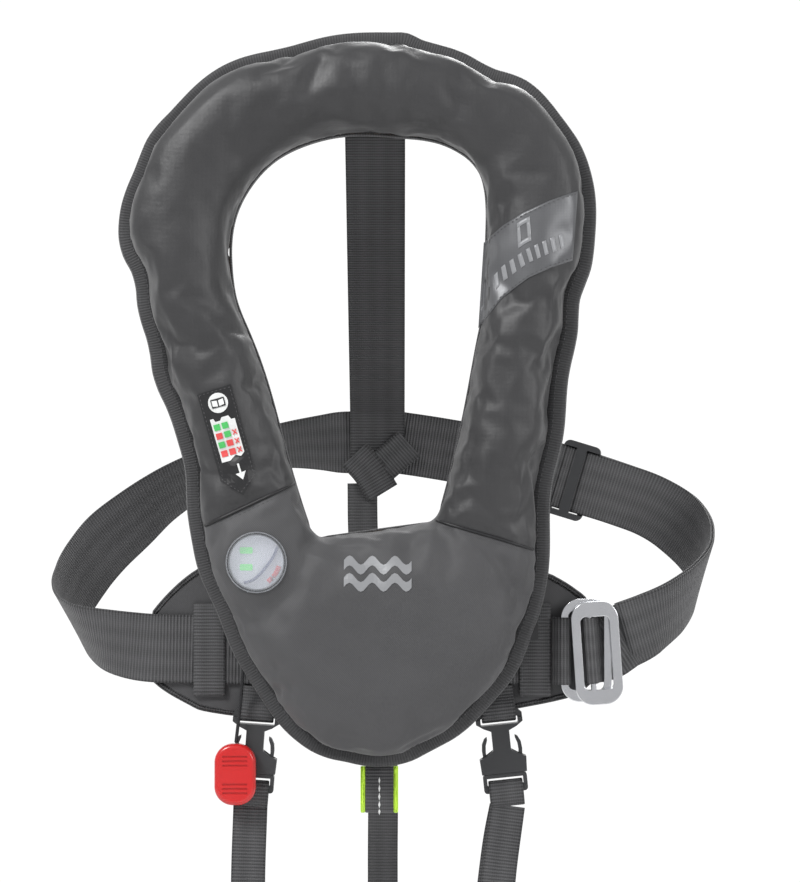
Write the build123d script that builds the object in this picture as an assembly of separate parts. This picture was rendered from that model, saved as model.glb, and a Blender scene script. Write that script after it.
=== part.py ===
"""Automatic inflatable life jacket with waist belt, crotch straps and lifting loop.

Millimetres.  X runs to the right seen from the front, Y runs to the back, Z is up.
The zero point is the neck seat: the top of the neck opening, on the middle line of the collar.
"""
import os
from math import cos, radians, sin
from build123d import *

os.makedirs("parts", exist_ok=True)

# ---- driving dimensions ----
CLOTH = 1.6            # cover and lining cloth, with its coating and turnings
FRONT, EDGE = -30.0, 8.0     # front of the stuffed cover, and where it meets the binding tape
BACK = 26.0            # back of the lining
ROUND = 20.0           # how far the stuffed cover rounds over at its edges
TAPE = 11.5            # binding tape seen from the front
LAYERS = (8.1, 11.0, 14.0, 17.0)   # front binding, burst zip, rear binding, along Y
WEB = 1.8              # thickness of webbing
BELT, YOKE, CROTCH = 50.0, 44.0, 25.0    # webbing widths
PANEL = (30.5, 33.0)   # harness panel behind the belt
BELT_Y = 28.5          # middle of the belt where it passes behind the jacket
BUCKLE_Y = 24.5        # middle plane of the side-release buckles
PULL_Y = 12.5          # middle plane of the pull cord and handle
WINDOW = (-78.0, -306.0, 21.7)    # inspection window: middle and radius
CYL_R, CYL_L = 15.5, 128.0        # gas cylinder

# ---- outlines, seen from the front (X, Z) ----
OUTLINE = [
    (6, 76), (-31, 72.5), (-61, 64.5), (-88, 58.5), (-111, 48), (-129, 33), (-144, 17),
    (-158, 1), (-167, -20), (-176, -42), (-180, -66), (-177.5, -84), (-169.5, -100),
    (-166, -124), (-158, -152), (-154, -176), (-146, -194), (-137, -220), (-131.5, -243),
    (-130.5, -266), (-127, -291), (-121, -317), (-110, -341), (-98, -371), (-78, -404.5),
    (-64, -424.5), (-46, -441), (-26, -450.3), (-4, -454.7), (21, -454.7), (45, -445),
    (65, -434), (79, -422), (94, -405.5), (107, -389), (118.5, -362), (125, -344),
    (130.3, -320), (132, -298), (132, -270), (134, -250), (141.5, -218), (146, -171),
    (152.5, -138), (154, -117), (161, -98), (164.3, -78), (165, -42), (160, -19), (154, -4.5),
    (142, 13), (129, 29.5), (111, 43.5), (91, 50), (68, 62), (38, 71.5),
]
NECK = [
    (-38, -289.5), (-51, -250.5), (-58.5, -224), (-75.8, -163.5), (-88, -133), (-92.5, -122),
    (-97, -97), (-97, -71), (-92.3, -52), (-83.5, -36), (-67.3, -18.5), (-45.4, -6.8), (-16, 0.2),
    (25, -0.9), (50, -4.3), (66.3, -11.4), (79.5, -23.5), (84.3, -38), (85, -80), (84.5, -118),
    (80.5, -139), (73.4, -176.5), (68, -204.5), (57.3, -250), (49.8, -277.5),
]
SEAM = [(-190, -315.6), (-30, -240.4), (44, -275.2), (95, -289.6), (125, -299.5), (190, -321)]
PATCH = [(-120, -187.4), (-96, -179.7), (-78.4, -243.6), (-87.2, -258.5), (-103.8, -248.6)]
BAND = [(92, -71), (111, -58), (140, -46), (138, -93.5), (114.8, -104.4), (95, -118.3)]
WINGS = [(-124, -312), (-158, -344), (-159, -396), (-124, -417), (-100, -421), (0, -424),
         (109, -416), (148, -408), (165, -398), (163, -342), (160, -333.5), (132.6, -316),
         (60, -330), (-60, -330)]

# ---- webbing stations: middle point, then the direction of the width (lower to upper edge) ----
LEFT_BELT = [
    (12, 229, -220.5, 0, 0, 1), (-15, 229, -221, 0, 0, 1), (-40, 229, -221.5, .04, -.45, .88),
    (-68, 228.5, -223.5, .1, -.66, .74), (-100, 225, -230, .13, -.68, .72),
    (-135, 218.5, -246, .16, -.56, .81), (-165, 207, -264, .12, -.3, .95),
    (-188, 191.5, -283, -.06, 0, 1), (-206, 173, -299.5, -.24, .16, .95),
    (-218, 152, -316, -.3, .14, .95), (-227, 125, -335, -.38, 0, .92),
    (-228, 102, -346, -.44, -.07, .89), (-223, 80, -355, -.45, -.2, .87),
    (-209, 57, -363, -.33, -.28, .9), (-187, 39.5, -368, -.12, -.16, .98),
    (-161, BELT_Y, -371, 0, 0, 1), (-130, BELT_Y, -372, 0, 0, 1), (130, BELT_Y, -373, 0, 0, 1),
]
RIGHT_BELT = [
    (17.5, 229, -220.5, 0, 0, 1), (45, 226.5, -224.5, .08, 0, 1), (85, 218.5, -231.5, .2, 0, 1),
    (129, 207.6, -241.2, .29, -.04, .96), (201, 197.4, -263.3, .29, -.04, .96),
    (220, 191, -270.5, .26, .1, .95), (238, 178, -281, .24, .22, .94),
    (251, 158, -294, .24, .1, .96), (257, 133, -307, .24, .02, .96),
    (255, 107, -318, .27, -.08, .95), (247, 80, -329, .24, -.12, .96),
    (232, 54, -341, .18, -.17, .97), (212, 35.5, -352, .12, -.18, .98),
    (200, 30, -357.5, .08, -.12, .99), (188, 25.7, -362, .03, -.06, 1),
]
YOKE_PATH = [(27.4, 52), (27.4, 6), (33, -3), (222, -196), (224.3, -206), (224.3, -236)]
BACK_STRAP = [
    (-6.5, 224.3, -254, 1, 0, 0), (-6, 224, -292, 1, 0, 0), (2, 221, -380, 1, 0, 0),
    (9.5, 216, -470, 1, 0, 0), (10, 212, -560, 1, 0, 0), (10, 210.5, -622, 1, 0, 0),
]


def save(node, shape):
    export_step(shape, f"parts/{node}.step")
    print(node, "volume", round(shape.volume))


def slab(face, y0, y1):
    """A face drawn in X and Z, made solid from y0 to y1."""
    return extrude(Plane.XZ.offset(-y1) * face, amount=y1 - y0, dir=(0, -1, 0))


def area(points):
    return make_face(Polyline(*points, close=True))


def block(x0, x1, y0, y1, z0, z1, corner=0, along=Axis.Y):
    box = Pos((x0 + x1) / 2, (y0 + y1) / 2, (z0 + z1) / 2) * Box(x1 - x0, y1 - y0, z1 - z0)
    return fillet(box.edges().filter_by(along), corner) if corner else box


def rod(start, end, radius):
    a, b = Vector(*start), Vector(*end)
    return extrude(Plane(a, z_dir=b - a) * Circle(radius), amount=(b - a).length)


def frames(stations):
    """Middle, width direction and face direction of every webbing station."""
    mids = [Vector(*s[:3]) for s in stations]
    out = []
    for i, s in enumerate(stations):
        run = (mids[min(i + 1, len(mids) - 1)] - mids[max(i - 1, 0)]).normalized()
        across = Vector(*s[3:])
        across = (across - run * across.dot(run)).normalized()
        out.append((mids[i], across, run.cross(across)))
    return out


def webbing(stations, width, thick=WEB, lift=0.0, facets=False):
    """A strap through its stations; lift moves it off their plane along its face."""
    rings = [[mid + across * (width / 2 * a) + face * (thick / 2 * b + lift)
              for a, b in ((-1, -1), (1, -1), (1, 1), (-1, 1))] for mid, across, face in frames(stations)]
    if not facets:
        return loft([make_face(Polyline(*ring, close=True)) for ring in rings], ruled=True)
    faces = [Face(Wire.make_polygon(ring, close=True)) for ring in (rings[0], rings[-1])]
    for low_ring, high_ring in zip(rings, rings[1:]):
        for i in range(4):
            j = (i + 1) % 4
            for part in ([low_ring[i], low_ring[j], high_ring[j]], [high_ring[j], high_ring[i], low_ring[i]]):
                faces.append(Face(Wire.make_polygon(part, close=True)))
    return Solid(Shell(faces))


def strip(points, radii, x0, x1, thick=WEB):
    """A strap bent in the Y, Z plane, from x0 to x1."""
    line = FilletPolyline(*points, radius=radii) if radii else Polyline(*points)
    return Pos(x0, 0, 0) * extrude(Plane.YZ * trace(line, thick), amount=x1 - x0, dir=(1, 0, 0))


def wrap(points, radii, z0, z1, thick=WEB):
    """A strap bent in the X, Y plane, from z0 to z1."""
    line = FilletPolyline(*points, radius=radii)
    return Pos(0, 0, z0) * extrude(trace(line, thick), amount=z1 - z0, dir=(0, 0, 1))


# ---- stuffed cover, lining and edge tapes ----
low = OUTLINE.index((21, -454.7))
left_rim = Spline(*OUTLINE[:low + 1], tangents=[(-1, 0), (1, 0.12)])
right_rim = Spline(*OUTLINE[low:], OUTLINE[0], tangents=[(1, 0.12), (-1, 0)])
mouth_line = Spline(*NECK)


def sampled(curve, steps):
    return [((curve @ (i / steps)).X, (curve @ (i / steps)).Y) for i in range(steps)]


RIM = sampled(left_rim, 58) + sampled(right_rim, 58)
MOUTH = sampled(mouth_line, 58) + [NECK[-1], (40, -278.8), (-28, -288.1)]


def drawn(line, depth):
    """A closed line moved into the cloth by depth: inwards from the rim, outwards from the neck."""
    out = []
    for a, p, b in zip(line[-1:] + line[:-1], line, line[1:] + line[:1]):
        u, v = (Vector(*p) - Vector(*a)).normalized(), (Vector(*b) - Vector(*p)).normalized()
        k = depth / (1 + u.dot(v))
        out.append((p[0] - (u.Y + v.Y) * k, p[1] + (u.X + v.X) * k))
    return out


def rim(depth):
    return area(drawn(RIM, depth))


def mouth(depth):
    return area(drawn(MOUTH, depth))


def stuffed(inset, grown, front, edge, rounding, bends=4):
    """A body between the rim and the neck, flat at the edge plane and rounded over at the front."""
    turns = [radians(90 * i / bends) for i in range(bends + 1)]
    levels = [(edge, 0)] + [(front + rounding * (1 - sin(t)), rounding * (1 - cos(t))) for t in turns]
    faces, ends = [], []
    for line, depth in ((RIM, inset), (MOUTH, grown)):
        loops = [[(x, y, z) for x, z in drawn(line, depth + more)] for y, more in levels]
        for low_loop, high_loop in zip(loops, loops[1:]):
            flat = low_loop[0][0::2] == high_loop[0][0::2]
            for i in range(len(line)):
                j = (i + 1) % len(line)
                quad = [low_loop[i], low_loop[j], high_loop[j], high_loop[i]]
                for part in ([quad] if flat else [quad[:3], quad[2:] + quad[:1]]):
                    faces.append(Face(Wire.make_polygon(part, close=True)))
        ends.append((loops[0], loops[-1]))
    for k in (0, 1):
        faces.append(Face(Wire.make_polygon(ends[0][k], close=True),
                          [Wire.make_polygon(ends[1][k], close=True)]))
    return Solid(Shell(faces))


skin = stuffed(TAPE - 0.5, 0, FRONT, EDGE, ROUND)
cover = skin - stuffed(TAPE - 0.5 + CLOTH, CLOTH, FRONT + CLOTH, EDGE + 1, ROUND - CLOTH)

wx, wz, wr = WINDOW
seam_line = Polyline(*SEAM)
seam_strip = slab(trace(seam_line, 2.4), -60, 40)
bib_area = slab(area(SEAM + [(190, -520), (-190, -520)]), -60, 40)
porthole = slab(Pos(wx, wz) * Circle(wr - 3), -60, EDGE + 1)
save("cover_collar", cover - bib_area - seam_strip)
save("cover_bib", (cover & bib_area) - seam_strip - porthole)
save("seam_tape", cover & seam_strip)

lining = slab(rim(6) - rim(13), LAYERS[3] + 0.1, 22)
lining += slab(mouth(6) - mouth(0), LAYERS[3], 22)
lining += slab(rim(9) - mouth(3), 21.9, BACK - 0.6)
lining += slab(rim(12) - mouth(5), 24, BACK)
lining += slab(mouth(CLOTH) - mouth(0), LAYERS[0], LAYERS[3] + 0.1)
lining += block(-4.8, 22.4, 18, 22.9, -456, -446)
save("back_panel", lining)

cord_gap = block(-98, -84, 10, 15, -405, -350)
y1, y2, y3, y4 = LAYERS
save("front_binding", slab(rim(0) - rim(14.5), y1, y2 - 0.1))
zip_ring = slab(rim(2) - rim(16), y2, y3 - 0.1)
zip_box = block(116, 128, y2 - 1, y3 + 1, -366, -350)
lever_gap = slab(Pos(-60, -338) * Circle(33.6), y2 - 1, y3 + 1)
save("burst_zip", zip_ring - cord_gap - zip_box - lever_gap)
save("zip_slider", block(117, 124, y2 + 0.1, y3 - 0.2, -364, -352, 1.5))
save("rear_binding", slab(rim(-0.8) - rim(14.5), y3, y4))

# ---- trims on the front ----
save("instruction_patch", slab(area(PATCH), FRONT - 1.2, FRONT - 0.1))
save("reflective_band", slab(area(BAND), FRONT - 1.1, FRONT - 0.1))
save("inspection_window", slab(Pos(wx, wz) * Circle(wr), FRONT - 1.3, FRONT - 0.1))

# ---- folded bladder with its pockets ----
UP = Vector(-0.239, 0, 0.971)
cyl_foot = Vector(-84, -4, -281)
bladder = stuffed(16.5, 2.2, -28, 16.7, 17.8, 3) + slab(rim(17) - mouth(6.4), 16.6, 21.5)
gas_pocket = rod(cyl_foot - UP * 6, cyl_foot + UP * 157, CYL_R + 1.5)
bladder -= block(-104, -50, -40, 17, -364, -268)
bladder -= gas_pocket
bladder -= block(-98, -82, 10, 15.5, -410, -350)
bladder -= rod((96, -4, -312), (119.8, -4, -156), 9.5)
bladder -= block(40, 84, -14, 0, -352, -334)
bladder -= block(108, 134, -16, 10, -142, -86)
save("bladder", bladder)

# ---- inflator, gas cylinder and firing lever ----
head = slab(Pos(wx, wz) * Circle(19.5), -24, 1)
head += slab(Pos(wx, wz) * Circle(13), 0.9, 9)
face_marks = [block(wx - 12, wx - 3, -24.9, -23, wz + dz, wz + dz + 4.5, 1) for dz in (-6, 6)]
port = rod(cyl_foot - UP * 18, cyl_foot + UP * 4, 8.5)
head += port
for mark in face_marks:
    head -= mark
save("inflator_body", head)
for mark in face_marks[1:]:
    face_marks[0] += mark
save("status_indicators", face_marks[0])
bottle = rod(cyl_foot + UP * 4.4, cyl_foot + UP * 18, 6.5)
barrel = rod(cyl_foot + UP * 17.9, cyl_foot + UP * (18 + CYL_L), CYL_R)
barrel = fillet(barrel.edges().filter_by(GeomType.CIRCLE), 7)
save("co2_cylinder", bottle + barrel)

lever_plan = make_hull((Pos(-60, -338) * Circle(6)).edges()
                       + (Pos(-83.4, -321.6) * Circle(3.6)).edges())
lever = slab(lever_plan, 10.2, 14.8) - slab(Pos(-60, -338) * Circle(2.4), 0, 20)
save("firing_lever", lever)

# ---- mouth inflation tube, whistle and light inside the right lobe ----
save("oral_tube", rod((96.9, -4, -306), (115, -4, -187.5), 7))
save("oral_cap", rod((115.1, -4, -187), (117.6, -4, -170.5), 7.6))
whistle = block(43, 82, -12, -2, -350, -338, 2.5) - block(60, 68, -13, -6, -344, -341)
save("whistle", whistle)
save("light_unit", block(111, 131, -12, 6, -139, -110, 4) + block(114, 128, -9, 3, -110.2, -90, 5))

# ---- pull cord and handle ----
EXIT = Vector(-90, PULL_Y, -384)
PULL = Vector(-5, 0, -54).normalized()
HANDLE_TOP = EXIT + PULL * 54.6
CORD_R = 1.25
save("pull_cord", rod(EXIT, HANDLE_TOP, CORD_R))
save("pull_cord_inner", rod(EXIT - PULL * 54, EXIT - PULL * 0.3, CORD_R))
print("straight cord, no bends")
HANDLE = (-95.6, -461.5)
hx, hz = HANDLE
grip = slab(fillet((Pos(hx, hz) * Rectangle(30, 44.5)).vertices(), 13.5), PULL_Y - 5.5, PULL_Y + 5.5)
grip = fillet(grip.faces().sort_by(Axis.Y)[0].edges() + grip.faces().sort_by(Axis.Y)[-1].edges(), 3.5)
for dz in (13.2, 10, 6.8, -6.8, -10, -13.2):
    grip -= block(hx - 9, hx + 9, PULL_Y - 7, PULL_Y - 4.6, hz + dz - 0.7, hz + dz + 0.7)
grip -= rod(HANDLE_TOP - PULL * 2, HANDLE_TOP + PULL * 0.3, 1.8)
save("pull_handle", grip)

# ---- harness panel with its bound wings ----
panel_plan = fillet(area(WINGS).vertices(), 6)
inner_plan = offset(panel_plan, -4)
save("harness_panel", slab(inner_plan, *PANEL))
save("wing_binding", slab(panel_plan - offset(panel_plan, -3.9), PANEL[0] - 0.3, PANEL[1] + 0.3))

# ---- waist belt ----
save("waist_belt_left", webbing(LEFT_BELT, BELT))
save("waist_belt_right", webbing(RIGHT_BELT, BELT))
save("waist_belt_return", webbing([(151, 204.5, -248, .29, -.04, .96)] + RIGHT_BELT[4:], BELT, lift=2.05))
for side, x0, x1 in (("left", -127, -104), ("right", 111, 134)):
    keeper = block(x0, x1, 26.2, PANEL[0] - 0.5, -407, -338.5)
    keeper -= block(x0 - 1, x1 + 1, 27.3, PANEL[0], -400, -345.2)
    keeper = fillet(keeper.faces().sort_by(Axis.Y)[0].edges().filter_by(Axis.X), 2.5)
    save(f"belt_keeper_{side}", keeper)

# ---- two-piece metal buckle on the belt ----
RING = (159.4, -372.5)
PLATE = (166.8, -374.0, -4.0)      # middle and lean


def metal_frame(width, height, opening, tall, corner, y0, y1):
    face = fillet(Rectangle(width, height).vertices(), corner)
    face -= fillet(Rectangle(opening, tall).vertices(), 4)
    body = slab(face, y0, y1)
    return fillet(body.edges().filter_by(Plane.XZ), 0.6)


ring = Pos(RING[0], 0, RING[1]) * metal_frame(37, 75, 25.6, 57, 14, 20.5, 23.3)
save("buckle_ring", ring)
plate = metal_frame(34.5, 75, 21, 53, 13, 14.4, 17.6)
for end in (1, -1):
    plate -= block(-6, -2, 13, 15.4, end * 24 if end > 0 else -29, 29 if end > 0 else -24)
lean = Pos(PLATE[0], 0, PLATE[1]) * Rot(0, PLATE[2], 0)
save("buckle_plate", lean * plate)
save("buckle_bar", lean * (rod((-4, 16.4, -26.4), (-4, 16.4, 26.4), 2)))
bar_x = PLATE[0] - 4
fold = wrap([(184.5, 25.6), (172, 25.6), (bar_x + 3.3, 20), (bar_x + 3.3, 13.2), (bar_x - 3.3, 13.2),
             (bar_x - 3.3, 22), (166, 27.7), (184.5, 27.7)], [4, 3, 3, 3, 3, 4], -394.5, -353.5)
save("buckle_webbing", lean * Pos(-PLATE[0], 0, -PLATE[1]) * fold)
ring_fold = wrap([(130.6, BELT_Y), (137.5, 27.9), (142, 24.6), (147.6, 24.6), (147.6, 19.2),
                  (139.8, 19.2), (134.8, 25.4)], [3, 2, 2, 2, 3], -397.5, -348.5, 1.6)
save("buckle_ring_webbing", ring_fold)

# ---- sliding adjuster at the back right ----
adj_at = Vector(162, 202.93, -251.3)
run = Vector(72, -10.2, -22.1).normalized()
up = Vector(.29, -.04, .96)
up = (up - run * up.dot(run)).normalized()
place = Plane(adj_at, x_dir=run, z_dir=run.cross(up))
frame = Pos(0, 0, 0.95) * Box(30, 61, 8.9)
frame = fillet(frame.edges().filter_by(Axis.Z), 5)
frame -= Pos(0, 0, 0.95) * Box(40, 51.6, 4.6)
frame -= Pos(0, 0, -3.2) * Box(21, 51.6, 5)
frame -= Pos(10, 0, 4.6) * Box(12, 51.6, 5) + Pos(-10, 0, 4.6) * Box(12, 51.6, 5)
frame -= Pos(16, 0, 4.6) * Box(16, 51.6, 5) + Pos(-16, 0, 4.6) * Box(16, 51.6, 5)
save("belt_adjuster", place * frame)

# ---- yoke strap and the hitch where the straps meet ----
save("yoke_strap", strip(YOKE_PATH, [5, 8, 8, 5], 5.6 - YOKE / 2, 5.6 + YOKE / 2))
save("yoke_doubler", strip([(143.4, -112.9), (221, -192.1)], None, 5.6 - YOKE / 2, 5.6 + YOKE / 2))
B = [(20.1, -214.7), (36.9, -233.4), (20.4, -250.8), (-0.4, -231.2)]
C = [(-16.8, -222.2), (-1, -232.2), (20.2, -252.2), (3.8, -273.7), (-15.3, -258.3), (-20.2, -248.4)]
save("hitch_upper", slab(area(B), 220.4, 222.2))
save("hitch_lower", slab(area(C), 220.4, 222.2))
save("hitch_back", strip([(226.3, -206), (226.3, -193), (232, -193), (232, -252), (226.3, -252),
                          (226.3, -244)], [2, 2, 2, 2], -8, 17, 1.6))
save("crotch_strap_back", webbing(BACK_STRAP, 24))

# ---- side-release buckles, tabs and crotch straps ----
SIDES = {"left": (-82.5, -446.0, -4.0), "right": (98.3, -446.0, 6.0)}


def socket():
    half = [(0, 30), (14, 30), (17, 27), (17, 21), (12, 17.5), (6.5, 15), (6.5, 1), (12, -2.5),
            (17, -5), (16.4, -15.8), (0, -15.8)]
    face = area(half + [(-x, z) for x, z in half[-2:0:-1]])
    body = slab(face, -5, 5)
    body -= block(-13.6, 13.6, -9, 9, 19.6, 24.8, 1)
    body -= block(-20, 20, -9, -2.4, 24, 40) + block(-20, 20, 2.4, 9, 24, 40)
    body -= block(-15.2, 15.2, -3.4, 3.4, -17, -3.6)
    body -= block(-3.6, 3.6, -2.7, 2.7, -4, 11)
    return body - slab(area([(7.2, -4), (15.2, -4), (15.2, 1.5), (7.2, 1.5)]), -3.4, 3.4) \
                - slab(area([(-7.2, -4), (-15.2, -4), (-15.2, 1.5), (-7.2, 1.5)]), -3.4, 3.4)


def plug():
    body = block(-16, 16, -4, 4, -30, -16.1, 2.5)
    body -= block(-13.2, 13.2, -9, 9, -24.5, -19)
    body -= block(-20, 20, -9, -2.2, -40, -24.3) + block(-20, 20, 2.2, 9, -40, -24.3)
    return body + block(-3, 3, -2.2, 2.2, -16.2, 8)


def prong(side):
    shape = [(9.2, -15.8), (12.6, -15.8), (14.0, -8), (14.7, 1), (14.2, 6), (12.2, 10), (10.2, 11.2),
             (10.2, 9), (11.6, 5), (12, 0), (11.2, -8)]
    return slab(area([(side * x, z) for x, z in shape]), -2.6, 2.6)


for side, (bx, bz, tilt) in SIDES.items():
    at = Pos(bx, BUCKLE_Y, bz) * Rot(0, -tilt, 0)
    save(f"socket_{side}", at * socket())
    save(f"plug_{side}", at * plug())
    save(f"prong_{side}_outer", at * prong(-1 if side == "left" else 1))
    save(f"prong_{side}_inner", at * prong(1 if side == "left" else -1))
    tab = strip([(2.6, 46.8), (2.6, 41), (-3.4, 32), (-3.4, 22.4), (3.4, 22.4), (3.4, 33), (4.4, 41),
                 (4.4, 46.8)], [4, 4, 3.3, 3.3, 4, 4], -12.5, 12.5, 1.6)
    save(f"socket_tab_{side}", at * tab)

LOOPS = {
    "left": [(-87, 24.5, -540, 1, 0, 0), (-87, 27, -585, 1, 0, 0),
             (-82, 41, -625, 1, 0, 0), (-69, 72, -657, 1, 0, 0), (-49, 111, -672, 1, 0, 0),
             (-26, 151, -668, 1, 0, 0), (-7, 184, -649, 1, 0, 0), (5, 203, -622, 1, 0, 0),
             (8, 206.5, -596, 1, 0, 0)],
    "right": [(95.6, 24.5, -541, 1, 0, 0), (93, 27, -590, 1, 0, 0),
              (89, 42, -632, 1, 0, 0), (79, 74, -665, 1, .1, 0), (62, 114, -681, 1, .2, 0),
              (42, 154, -677, 1, .2, 0), (24, 192, -661, 1, .1, 0), (14, 212, -640, 1, 0, 0),
              (11, 214.3, -620, 1, 0, 0), (11, 214.8, -596, 1, 0, 0)],
}
for side, stations in LOOPS.items():
    bx, bz, tilt = SIDES[side]
    at = Pos(bx, BUCKLE_Y, bz) * Rot(0, -tilt, 0)
    eye = strip([(-1.2, -39.7), (-3.6, -34), (-3.6, -22), (3.6, -22), (3.6, -34), (1.2, -39.7)],
                [2, 3.4, 3.4, 2], -12.5, 12.5, 1.6)
    down, level = Vector(sin(radians(tilt)), 0, -cos(radians(tilt))), (cos(radians(tilt)), 0, sin(radians(tilt)))
    path = [(*(at.position + down * reach), *level) for reach in (40.2, 45)] + stations
    save(f"crotch_strap_{side}", webbing(path, CROTCH, facets=True))
    save(f"crotch_eye_{side}", at * eye)
tail = [(98.2, 27.2, -489, 1, 0, 0), (93, 27.2, -541, 1, 0, 0), (89.5, 29, -575, 1, 0, 0)]
save("crotch_tail_right", webbing(tail, CROTCH, 1.6))
save("crotch_junction", block(-5, 25, 216, 217.6, -622, -596, 2))

# ---- lifting loop ----
LOOP = [(18.9, -457), (17.6, -463), (15, -478), (15, -489.8), (26, -489.8), (26, -478), (23.4, -463),
        (22.1, -457)]
RADII = [6, 6, 5.2, 5.2, 6, 6]
body = strip(LOOP, RADII, -1.6, 19.2, 1.7)
save("lifting_loop", body)
edges = strip(LOOP, RADII, -4.8, -1.6, 1.7) + strip(LOOP, RADII, 19.2, 22.4, 1.7)
save("lifting_loop_edges", edges)
print("done")
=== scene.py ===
# %% [markdown]
# An inflatable life jacket, worn on a yacht. A folded bladder and a gas bottle hide in a slim
# horseshoe cover. Webbing holds it to the body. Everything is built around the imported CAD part,
# in the same frame: metres, X to the right seen from the front, Y to the back, Z up.

# %% The shared frame
from math import cos, pi, radians, sin

import bmesh
import bpy
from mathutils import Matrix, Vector, noise
from mathutils.bvhtree import BVHTree


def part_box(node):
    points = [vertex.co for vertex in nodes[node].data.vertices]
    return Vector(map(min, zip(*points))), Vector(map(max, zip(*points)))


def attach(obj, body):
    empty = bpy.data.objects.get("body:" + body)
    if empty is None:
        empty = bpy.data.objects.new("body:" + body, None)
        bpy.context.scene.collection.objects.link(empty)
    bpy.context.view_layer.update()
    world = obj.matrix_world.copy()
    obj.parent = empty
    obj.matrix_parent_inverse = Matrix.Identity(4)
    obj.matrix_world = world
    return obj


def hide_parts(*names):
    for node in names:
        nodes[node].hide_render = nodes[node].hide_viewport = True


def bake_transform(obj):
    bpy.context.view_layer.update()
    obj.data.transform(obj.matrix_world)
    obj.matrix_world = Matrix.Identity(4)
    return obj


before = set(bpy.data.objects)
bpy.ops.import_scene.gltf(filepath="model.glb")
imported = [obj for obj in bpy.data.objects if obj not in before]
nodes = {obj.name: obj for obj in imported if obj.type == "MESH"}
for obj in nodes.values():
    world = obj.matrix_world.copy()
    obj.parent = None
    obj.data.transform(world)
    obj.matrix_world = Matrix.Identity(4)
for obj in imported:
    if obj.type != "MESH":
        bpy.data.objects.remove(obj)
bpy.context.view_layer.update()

# %% [markdown]
# The camera stands straight in front, at chest height, about two metres away. A long lens keeps
# the belt, which runs round the back, from looking much smaller than the front.

# %% Camera
scene = bpy.context.scene


def linked(name, data):
    obj = bpy.data.objects.new(name, data)
    scene.collection.objects.link(obj)
    return obj


def placed(obj, body=None, stands=()):
    """Gives a piece the body it rides on and hides the CAD nodes it stands for."""
    if body:
        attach(obj, body)
    if stands:
        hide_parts(*stands)
    return obj


camera = linked("camera", bpy.data.cameras.new("camera"))
camera.location = (0.0238, -1.9, -0.22)
camera.rotation_euler = (pi / 2, 0, 0)
camera.data.lens = 107.7
camera.data.sensor_width = 36
scene.camera = camera
scene.view_settings.view_transform = "Standard"

# %% [markdown]
# The manual pull cord is a thin braided line. It leaves the edge of the cover near the gas
# bottle and carries the red handle, so one sharp tug fires the bottle.

# %% Pull cord
line = bpy.data.curves.new("pull_cord_braid", "CURVE")
line.dimensions = "3D"
line.bevel_depth = 0.00125
line.bevel_resolution = 3
spline = line.splines.new("NURBS")
spots = [(-.0900, .0125, -.3840), (-.0908, .0123, -.4005), (-.0932, .0123, -.4225),
         (-.0951, .0125, -.4384)]
spline.points.add(len(spots) - 1)
for point, spot in zip(spline.points, spots):
    point.co = (*spot, 1)
spline.order_u = 3
spline.use_endpoint_u = True
cord = linked("pull_cord_braid", line)
placed(cord, "handle", ["pull_cord"])
print("cord through", len(spots), "points")

# %% [markdown]
# Every surface is a small graph of shader nodes. One class lets the graph be written as
# ordinary arithmetic: adding or multiplying two sockets adds a Math node.

# %% Writing shader graphs as arithmetic
class Socket:
    def __init__(self, tree, out):
        self.tree, self.out = tree, out

    def node(self, kind, settings=None, links=None, out=0):
        made = self.tree.nodes.new(kind)
        for key, value in (settings or {}).items():
            setattr(made, key, value)
        for key, value in (links or {}).items():
            if isinstance(value, Socket):
                self.tree.links.new(value.out, made.inputs[key])
            else:
                made.inputs[key].default_value = value
        return Socket(self.tree, made.outputs[out])

    def math(self, operation, *values):
        return self.node("ShaderNodeMath", {"operation": operation}, dict(enumerate(values)))

    def __add__(self, other): return self.math("ADD", self, other)
    def __radd__(self, other): return self.math("ADD", other, self)
    def __sub__(self, other): return self.math("SUBTRACT", self, other)
    def __rsub__(self, other): return self.math("SUBTRACT", other, self)
    def __mul__(self, other): return self.math("MULTIPLY", self, other)
    def __rmul__(self, other): return self.math("MULTIPLY", other, self)
    def __truediv__(self, other): return self.math("DIVIDE", self, other)

    def wave(self, pitch):
        """0 to 1 and back in every pitch metres."""
        return self.math("SINE", self * (2 * pi / pitch)) * .5 + .5

    def over(self, edge, soft):
        """0 below edge, 1 above it."""
        return self.math("SMOOTH_MIN", self.math("MAXIMUM", (self - edge) / soft, 0.0), 1.0, 0.05)

    def mix(self, low, high):
        """A colour between low and high."""
        return self.node("ShaderNodeMix", {"data_type": "RGBA"}, {0: self, 6: (*low, 1), 7: (*high, 1)}, 2)

    def grain(self, scale, detail=2.0):
        """Noise from a place."""
        return self.node("ShaderNodeTexNoise", {}, {"Vector": self, "Scale": scale, "Detail": detail})

    def axis(self, which):
        return self.node("ShaderNodeSeparateXYZ", {}, {0: self}, which)


# %% [markdown]
# A material starts with its place on the object and its place along the cloth. A small
# recipe then gives the colour, the roughness and the fine relief.

# %% A material from a recipe
made_materials = {}


def plain(value):
    return (*value, 1) if isinstance(value, tuple) else value


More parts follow.
